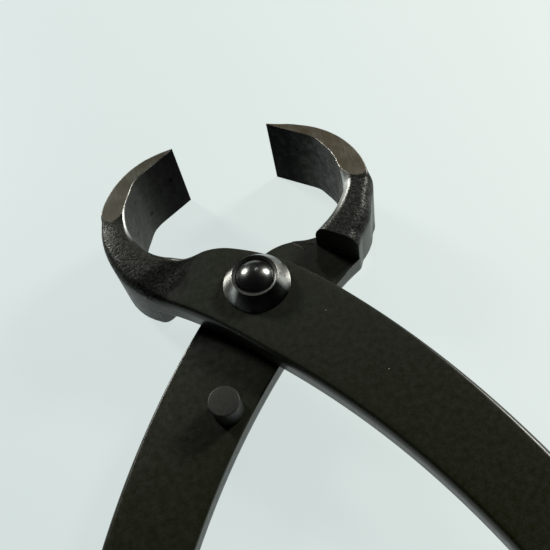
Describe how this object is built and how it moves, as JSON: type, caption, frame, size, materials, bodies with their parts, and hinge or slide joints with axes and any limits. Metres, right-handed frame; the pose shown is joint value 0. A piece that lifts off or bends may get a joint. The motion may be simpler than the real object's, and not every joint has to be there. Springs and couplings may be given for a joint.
{
  "type": "root cutter",
  "caption": "Black forged steel root cutter with round concave jaws, crossed flat levers on a domed rivet and long bowed handles.",
  "frame": {"origin": "centre of the pivot rivet's flat rear end, level with the rear sides of the jaws", "axes": "+Y from the pivot towards the jaws, midway between the two levers; +Z along the pivot axis out of the front face with the domed rivet head; +X to the viewer's right"},
  "size_m": [0.1316, 0.2012, 0.0205],
  "materials": {
    "forged_steel_front": "satin black scale, rough forged neck and bare ground jaw sides",
    "forged_steel_rear": "satin black scale, rough forged neck and bare ground jaw sides",
    "glossy_black_steel": "turned and polished, glossy black",
    "blackened_pin_steel": "satin black with a slightly rough sawn top"
  },
  "bodies": {
    "front_half": {"front_lever": "forged_steel_front", "pivot_rivet": "glossy_black_steel", "front_washer": "glossy_black_steel", "rear_washer": "glossy_black_steel"},
    "rear_half": {"rear_lever": "forged_steel_rear", "stop_pin": "blackened_pin_steel"}
  },
  "joints": [
    {"name": "pivot", "type": "hinge", "parent": "front_half", "child": "rear_half", "pos_m": [0, 0, 0], "axis": [0, 0, 1], "range_deg": [-33, 32.5]}
  ]
}
